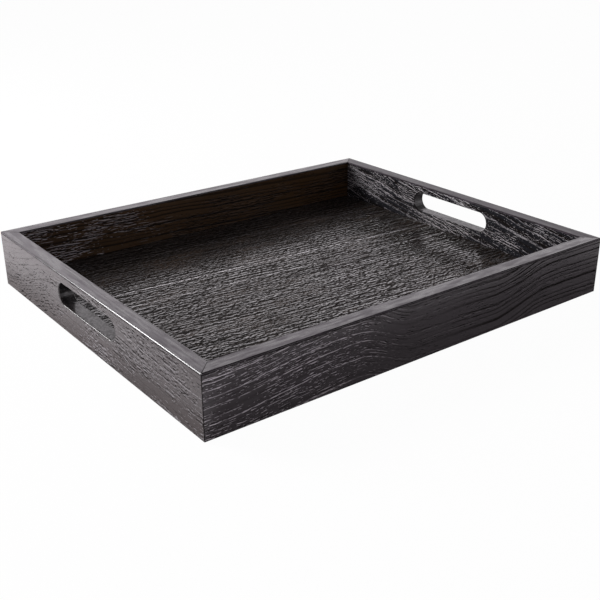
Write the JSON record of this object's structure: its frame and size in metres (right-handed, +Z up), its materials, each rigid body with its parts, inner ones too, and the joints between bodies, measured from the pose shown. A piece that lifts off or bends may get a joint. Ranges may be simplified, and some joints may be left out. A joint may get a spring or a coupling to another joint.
{
  "type": "display tray",
  "caption": "Rectangular display tray with mitred veneered rails, a round-ended hand hole through each end and a captive floor panel held in a groove.",
  "frame": {"origin": "middle of the tray's footprint, on the surface that it stands on", "axes": "+X along the tray's length to the right end, +Y to the back rail, +Z up out of the tray"},
  "size_m": [0.508, 0.424, 0.0635],
  "materials": {
    "oak_veneer": "black-stained open-grain oak veneer under satin lacquer",
    "oak_lipping": "black-stained smooth solid oak strip under satin lacquer",
    "board_core": "fine board with black-sealed edges, satin",
    "floor_core": "thin plywood, bare inside the panel",
    "beech_biscuit": "bare compressed beech"
  },
  "bodies": {
    "root": {"front_rail_core": "board_core", "front_rail_outer_veneer": "oak_veneer", "front_rail_inner_veneer": "oak_veneer", "front_rail_top_lipping": "oak_lipping", "back_rail_core": "board_core", "back_rail_outer_veneer": "oak_veneer", "back_rail_inner_veneer": "oak_veneer", "back_rail_top_lipping": "oak_lipping", "left_end_core": "board_core", "left_end_outer_veneer": "oak_veneer", "left_end_inner_veneer": "oak_veneer", "left_end_top_lipping": "oak_lipping", "right_end_core": "board_core", "right_end_outer_veneer": "oak_veneer", "right_end_inner_veneer": "oak_veneer", "right_end_top_lipping": "oak_lipping", "floor_face_veneer": "oak_veneer", "floor_core": "floor_core", "floor_backing_veneer": "oak_veneer", "mitre_biscuit_front_left": "beech_biscuit", "mitre_biscuit_front_right": "beech_biscuit", "mitre_biscuit_back_left": "beech_biscuit", "mitre_biscuit_back_right": "beech_biscuit"}
  },
  "joints": []
}
